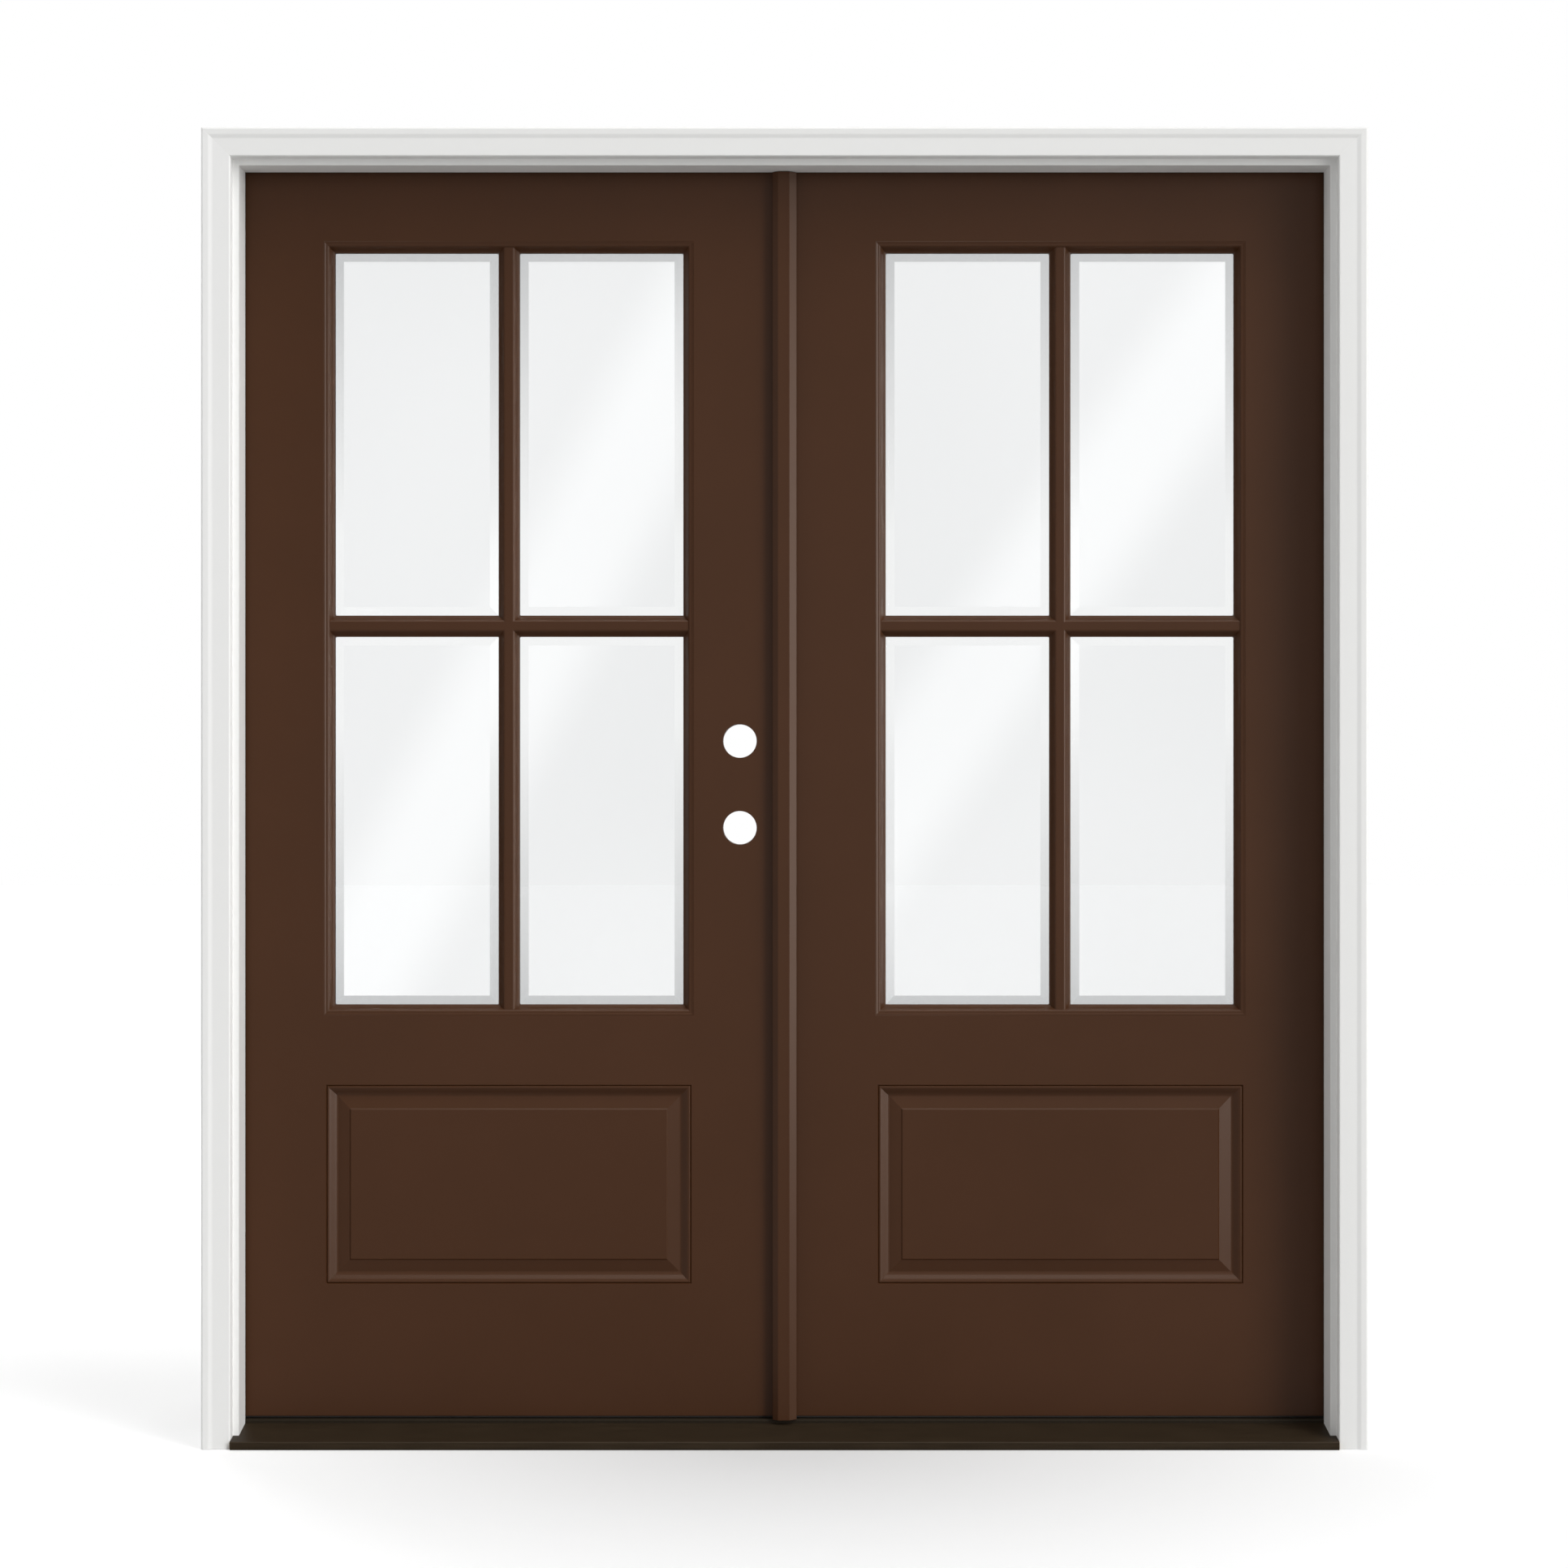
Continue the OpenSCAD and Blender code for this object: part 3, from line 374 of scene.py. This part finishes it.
# The screws: countersunk steel screws with a cross recess hold the hinge plates to jambs and
# leaves, four to a plate, and flat-headed ones set the height of the cap. All are turned and
# pressed from wire, so one tree makes them from their sizes.
screw_tree = bpy.data.node_groups.new("cross_recess_screw", "GeometryNodeTree")
screw_tree.is_modifier = True
sockets = {}
for name, kind, way in (
    ("Places", "NodeSocketGeometry", "INPUT"), ("Head Radius", "NodeSocketFloat", "INPUT"),
    ("Head Depth", "NodeSocketFloat", "INPUT"), ("Shank Radius", "NodeSocketFloat", "INPUT"),
    ("Length", "NodeSocketFloat", "INPUT"), ("Recess Width", "NodeSocketFloat", "INPUT"),
    ("Recess Reach", "NodeSocketFloat", "INPUT"), ("Recess Depth", "NodeSocketFloat", "INPUT"),
    ("Turn", "NodeSocketVector", "INPUT"), ("Finish", "NodeSocketMaterial", "INPUT"),
    ("Screws", "NodeSocketGeometry", "OUTPUT"),
):
    sockets[name] = screw_tree.interface.new_socket(name, in_out=way, socket_type=kind).identifier
given = screw_tree.nodes.new("NodeGroupInput")
result = screw_tree.nodes.new("NodeGroupOutput")
head = screw_tree.nodes.new("GeometryNodeMeshCone")
head.inputs["Vertices"].default_value = 32
screw_tree.links.new(given.outputs["Head Radius"], head.inputs["Radius Bottom"])
screw_tree.links.new(given.outputs["Shank Radius"], head.inputs["Radius Top"])
screw_tree.links.new(given.outputs["Head Depth"], head.inputs["Depth"])
shank = screw_tree.nodes.new("GeometryNodeMeshCylinder")
shank.inputs["Vertices"].default_value = 20
screw_tree.links.new(given.outputs["Shank Radius"], shank.inputs["Radius"])
screw_tree.links.new(given.outputs["Length"], shank.inputs["Depth"])
half_length = screw_tree.nodes.new("ShaderNodeMath")
half_length.operation = "MULTIPLY_ADD"
half_length.inputs[1].default_value = 0.5
screw_tree.links.new(given.outputs["Length"], half_length.inputs[0])
screw_tree.links.new(given.outputs["Head Depth"], half_length.inputs[2])
shank_place = screw_tree.nodes.new("ShaderNodeCombineXYZ")
screw_tree.links.new(half_length.outputs[0], shank_place.inputs["Z"])
seated_shank = screw_tree.nodes.new("GeometryNodeTransform")
screw_tree.links.new(shank.outputs["Mesh"], seated_shank.inputs["Geometry"])
screw_tree.links.new(shank_place.outputs[0], seated_shank.inputs["Translation"])
recess = screw_tree.nodes.new("GeometryNodeMeshBoolean")
recess.operation = "DIFFERENCE"
screw_tree.links.new(head.outputs["Mesh"], recess.inputs["Mesh 1"])
for across, along in (("X", "Y"), ("Y", "X")):
    slot_size = screw_tree.nodes.new("ShaderNodeCombineXYZ")
    screw_tree.links.new(given.outputs["Recess Width"], slot_size.inputs[across])
    screw_tree.links.new(given.outputs["Recess Reach"], slot_size.inputs[along])
    screw_tree.links.new(given.outputs["Recess Depth"], slot_size.inputs["Z"])
    cutter = screw_tree.nodes.new("GeometryNodeMeshCube")
    screw_tree.links.new(slot_size.outputs[0], cutter.inputs["Size"])
    screw_tree.links.new(cutter.outputs["Mesh"], recess.inputs["Mesh 2"])
screw = screw_tree.nodes.new("GeometryNodeJoinGeometry")
screw_tree.links.new(recess.outputs["Mesh"], screw.inputs["Geometry"])
screw_tree.links.new(seated_shank.outputs["Geometry"], screw.inputs["Geometry"])
turned = screw_tree.nodes.new("FunctionNodeEulerToRotation")
screw_tree.links.new(given.outputs["Turn"], turned.inputs[0])
driven = screw_tree.nodes.new("GeometryNodeInstanceOnPoints")
screw_tree.links.new(given.outputs["Places"], driven.inputs["Points"])
screw_tree.links.new(screw.outputs["Geometry"], driven.inputs["Instance"])
screw_tree.links.new(turned.outputs[0], driven.inputs["Rotation"])
solid = screw_tree.nodes.new("GeometryNodeRealizeInstances")
screw_tree.links.new(driven.outputs["Instances"], solid.inputs["Geometry"])
coated = screw_tree.nodes.new("GeometryNodeSetMaterial")
screw_tree.links.new(solid.outputs["Geometry"], coated.inputs["Geometry"])
screw_tree.links.new(given.outputs["Finish"], coated.inputs["Material"])
screw_tree.links.new(coated.outputs["Geometry"], result.inputs["Screws"])


def driven_screws(node, body, places, turn, finish, **sizes):
    """Screws at the given places, pointing along the turned Z axis, in place of the CAD node."""
    shape = bmesh.new()
    for place in places:
        shape.verts.new(place)
    marks = new_mesh_object(node + "_marks", shape)
    maker = marks.modifiers.new("screws", "NODES")
    maker.node_group = screw_tree
    for name, value in sizes.items():
        maker[sockets[name.replace("_", " ").title()]] = value
    maker[sockets["Turn"]] = turn
    maker[sockets["Finish"]] = finish
    mesh = bpy.data.meshes.new_from_object(marks.evaluated_get(bpy.context.evaluated_depsgraph_get()))
    bpy.data.objects.remove(marks)
    mesh.name = node + "_driven"
    mesh.shade_smooth()
    facet_limit = 37
    mesh.set_sharp_from_angle(angle=math.radians(facet_limit))
    piece = bpy.data.objects.new(node + "_driven", mesh)
    scene.collection.objects.link(piece)
    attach(piece, body)
    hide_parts(node)
    return piece


screw_steel = speckled(
    "screw_steel", (0.42, 0.40, 0.37), (0.56, 0.54, 0.51), rough=0.32, scale=900, depth=0.00002, metallic=1.0,
)
cap_low, cap_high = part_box("cap_screws")
cap_screw_radius = 0.004
cap_screw_count = 6
first_x = cap_low[0] + cap_screw_radius
pitch = (cap_high[0] - cap_low[0] - 2 * cap_screw_radius) / (cap_screw_count - 1)
cap_y = (cap_low[1] + cap_high[1]) / 2
cap_places = [(first_x + pitch * k, cap_y, cap_high[2]) for k in range(cap_screw_count)]
driven_screws(
    "cap_screws", "frame", cap_places, (math.pi, 0, 0), screw_steel,
    head_radius=cap_screw_radius, head_depth=0.003, shank_radius=cap_screw_radius, length=0.0043,
    recess_width=0.0012, recess_reach=0.0052, recess_depth=0.003,
)

leaf_foot, lowest_hinge, hinge_pitch, hinge_count = 0.035, 0.279, 0.724, 3
hinge_heights = [leaf_foot + lowest_hinge + hinge_pitch * k for k in range(hinge_count)]
jamb_plate, leaf_plate = 0.8782, 0.8752
jamb_screw, leaf_screw = 0.0143, 0.0263
screw_spots = [(0.1041, 0.012192), (0.09152, 0.033528), (0.09152, 0.068072), (0.1041, 0.089408)]
for node, body, face, lean, reach in (
    ("left_jamb_screws", "frame", -jamb_plate, -90, jamb_screw),
    ("active_hinge_screws", "active_leaf", -leaf_plate, 90, leaf_screw),
    ("passive_hinge_screws", "passive_leaf", leaf_plate, -90, leaf_screw),
    ("right_jamb_screws", "frame", jamb_plate, 90, jamb_screw),
):
    spots = [(face, y, z + up) for z in hinge_heights for y, up in screw_spots]
    driven_screws(
        node, body, spots, (0, math.radians(lean), 0), screw_steel,
        head_radius=0.0043, head_depth=0.0022, shank_radius=0.0022, length=reach,
        recess_width=0.0011, recess_reach=0.0046, recess_depth=0.0026,
    )

# The hinges: three butt hinges a leaf, with round-cornered steel plates let into jamb and leaf,
# five knuckles and a loose pin with button tips, all brushed to a satin finish.


def brushed(name, low, high, rough):
    """Brushed steel: fine scratches that run up and down and vary its tone and gloss."""
    return speckled(name, low, high, rough, scale=1400, depth=0.000015, stretch=(0.6, 0.6, 0.03), metallic=1.0)


hinge_steel = brushed("satin_hinge_steel", (0.44, 0.42, 0.39), (0.58, 0.56, 0.53), rough=0.34)
for node, body in (
    ("left_jamb_hinge_plates", "frame"), ("right_jamb_hinge_plates", "frame"),
    ("left_hinge_pins", "frame"), ("right_hinge_pins", "frame"),
    ("active_hinge_plates", "active_leaf"), ("passive_hinge_plates", "passive_leaf"),
):
    finished(node, body, hinge_steel, arris=0.0004)

# The seals: foam weatherstrip pressed into a slot in the stops, vinyl sweeps with fins under the
# leaves and a foam strip under the astragal's edge, all soft and dark.
seal_foam = speckled(
    "dark_seal", (0.016, 0.013, 0.011), (0.030, 0.026, 0.023), rough=0.75, scale=1200, depth=0.00012,
)
for node, body in (
    ("left_weatherstrip", "frame"), ("right_weatherstrip", "frame"), ("head_weatherstrip", "frame"),
    ("active_sweep", "active_leaf"), ("passive_sweep", "passive_leaf"), ("astragal_seal", "passive_leaf"),
):
    finished(node, body, seal_foam, arris=0.0)

# The leaves' skins: two pressed fibreglass sheets, smooth, with the raised panel moulded in and
# painted a satin dark brown. The lite frames and glazing bars are moulded and painted to match.
brown = paint("brown_paint", (0.0540, 0.0204, 0.0072), (0.0600, 0.0229, 0.0088), rough=0.33, shine=0.12)
for leaf in ("active", "passive"):
    for skin in ("outer_skin", "inner_skin"):
        finished(f"{leaf}_{skin}", f"{leaf}_leaf", brown, arris=0.0007)
    for trim in ("outer_lite_frame", "inner_lite_frame", "outer_bars", "inner_bars"):
        finished(f"{leaf}_{trim}", f"{leaf}_leaf", brown, arris=0.0)

# Inside the leaves: stiles and rails of laminated timber round a core of rigid foam that is poured in
# and swells to fill the skins. The stiles are sealed brown where their edges show; the rails stay bare.


def timber(name, early, late, rough, along):
    """Straight-grained timber: bands of early and late wood that run along one axis."""
    wood = bpy.data.materials.new(name)
    wood.use_nodes = True
    tree = wood.node_tree
    shader = tree.nodes["Principled BSDF"]
    place = tree.nodes.new("ShaderNodeTexCoord")
    turn = tree.nodes.new("ShaderNodeMapping")
    drawn_out = 0.04
    turn.inputs["Scale"].default_value = (drawn_out, 1, 1) if along == "X" else (1, 1, drawn_out)
    tree.links.new(place.outputs["Object"], turn.inputs["Vector"])
    rings = tree.nodes.new("ShaderNodeTexNoise")
    rings.inputs["Scale"].default_value = 120
    rings.inputs["Detail"].default_value = 4
    rings.inputs["Distortion"].default_value = 0.6
    tree.links.new(turn.outputs[0], rings.inputs["Vector"])
    tint = tree.nodes.new("ShaderNodeValToRGB")
    tint.color_ramp.elements[0].position = 0.38
    tint.color_ramp.elements[0].color = (*late, 1)
    tint.color_ramp.elements[1].position = 0.62
    tint.color_ramp.elements[1].color = (*early, 1)
    tree.links.new(rings.outputs["Fac"], tint.inputs["Fac"])
    tree.links.new(tint.outputs[0], shader.inputs["Base Color"])
    shader.inputs["Roughness"].default_value = rough
    bump = tree.nodes.new("ShaderNodeBump")
    bump.inputs["Strength"].default_value = 0.3
    bump.inputs["Distance"].default_value = 0.0001
    tree.links.new(rings.outputs["Fac"], bump.inputs["Height"])
    tree.links.new(bump.outputs[0], shader.inputs["Normal"])
    return wood


stile_wood = timber("brown_sealed_stile", (0.060, 0.032, 0.021), (0.044, 0.022, 0.014), rough=0.5, along="Z")
rail_wood = timber("rail_timber", (0.50, 0.34, 0.19), (0.36, 0.22, 0.11), rough=0.65, along="X")
core_foam = speckled("core_foam", (0.62, 0.50, 0.26), (0.78, 0.66, 0.40), rough=0.9, scale=450, depth=0.0003)
for leaf, free_stile in (("active", "lock_stile"), ("passive", "meeting_stile")):
    coat_node(f"{leaf}_hinge_stile", stile_wood)
    coat_node(f"{leaf}_{free_stile}", stile_wood)
    coat_node(f"{leaf}_top_rail", rail_wood)
    coat_node(f"{leaf}_bottom_rail", rail_wood)
    coat_node(f"{leaf}_foam_core", core_foam)

# The glass: two clear float sheets sealed to a grey spacer. The outer one shows four panes, each
# with a ground and polished bevel round its edge, which bends what is seen through it. The bevels
# carry painted shade: their tint greys towards the top and the foot of the lite.


def clear_glass(name, rough, stops, shade):
    """Glass with the cast of a colour ramp; shade makes the ramp's factor from Object coordinates."""
    sheet = bpy.data.materials.new(name)
    sheet.use_nodes = True
    tree = sheet.node_tree
    shader = tree.nodes["Principled BSDF"]
    shader.inputs["Transmission Weight"].default_value = 1.0
    shader.inputs["IOR"].default_value = 1.5
    shader.inputs["Roughness"].default_value = rough
    place = tree.nodes.new("ShaderNodeTexCoord")
    tint = tree.nodes.new("ShaderNodeValToRGB")
    ramp = tint.color_ramp
    for element, (position, colour) in zip(ramp.elements, (stops[0], stops[-1])):
        element.position = position
        element.color = (*colour, 1)
    for position, colour in stops[1:-1]:
        ramp.elements.new(position).color = (*colour, 1)
    tree.links.new(shade(tree, place.outputs["Object"]), tint.inputs["Fac"])
    tree.links.new(tint.outputs[0], shader.inputs["Base Color"])
    return sheet


def slow_cloud(tree, place):
    """A faint cast that changes slowly across the sheet."""
    cloud = tree.nodes.new("ShaderNodeTexNoise")
    cloud.inputs["Scale"].default_value = 1.3
    cloud.inputs["Detail"].default_value = 1
    tree.links.new(place, cloud.inputs["Vector"])
    return cloud.outputs["Fac"]


def height_off_middle(tree, place):
    """How far a point lies above or below the middle of the lite."""
    lite_low, lite_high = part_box("active_outer_glass")
    height = tree.nodes.new("ShaderNodeSeparateXYZ")
    tree.links.new(place, height.inputs[0])
    offset = tree.nodes.new("ShaderNodeMath")
    offset.operation = "SUBTRACT"
    offset.inputs[1].default_value = (lite_low[2] + lite_high[2]) / 2
    tree.links.new(height.outputs["Z"], offset.inputs[0])
    reach = tree.nodes.new("ShaderNodeMath")
    reach.operation = "ABSOLUTE"
    tree.links.new(offset.outputs[0], reach.inputs[0])
    return reach.outputs[0]


pane_cast = [(0.35, (0.915, 0.920, 0.922)), (0.65, (0.935, 0.940, 0.942))]
# painted shade on the bevels: greyer the farther they lie above or below the lite's middle
bevel_painted_shade = [(0.15, (0.98, 0.985, 0.98)), (0.44, (0.60, 0.605, 0.605)), (0.60, (0.42, 0.425, 0.43))]
pane_glass = clear_glass("pane_glass", 0.0, pane_cast, slow_cloud)
bevel_glass_painted_shade = clear_glass("bevel_glass_painted_shade", 0.02, bevel_painted_shade, height_off_middle)
spacer_metal = speckled(
    "spacer_metal", (0.30, 0.30, 0.30), (0.40, 0.40, 0.40), rough=0.5, scale=700, depth=0.00003, metallic=0.8,
)
flat_normal, steep_normal = -0.998, -0.9
for leaf in ("active", "passive"):
    panes = finished(f"{leaf}_outer_glass", f"{leaf}_leaf", pane_glass, arris=0.0, crease=3)
    # the bevel faces take the glass with painted shade
    panes.data.materials.append(bevel_glass_painted_shade)
    for face in panes.data.polygons:
        if flat_normal < face.normal.y < steep_normal:
            face.material_index = 1
    coat_node(f"{leaf}_inner_glass", pane_glass)
    coat_node(f"{leaf}_glass_spacer", spacer_metal)

# The astragal: a T-shaped timber post, painted brown, screwed to the passive leaf's edge. Its
# flange covers the meeting gap outdoors, and a steel bolt slides in it at each end.
finished("astragal", "passive_leaf", brown, arris=0.0007)
bolt_steel = brushed("bolt_steel", (0.46, 0.44, 0.41), (0.60, 0.58, 0.55), rough=0.3)
finished("top_flush_bolt", "top_bolt", bolt_steel, arris=0.0006)
finished("bottom_flush_bolt", "bottom_bolt", bolt_steel, arris=0.0006)
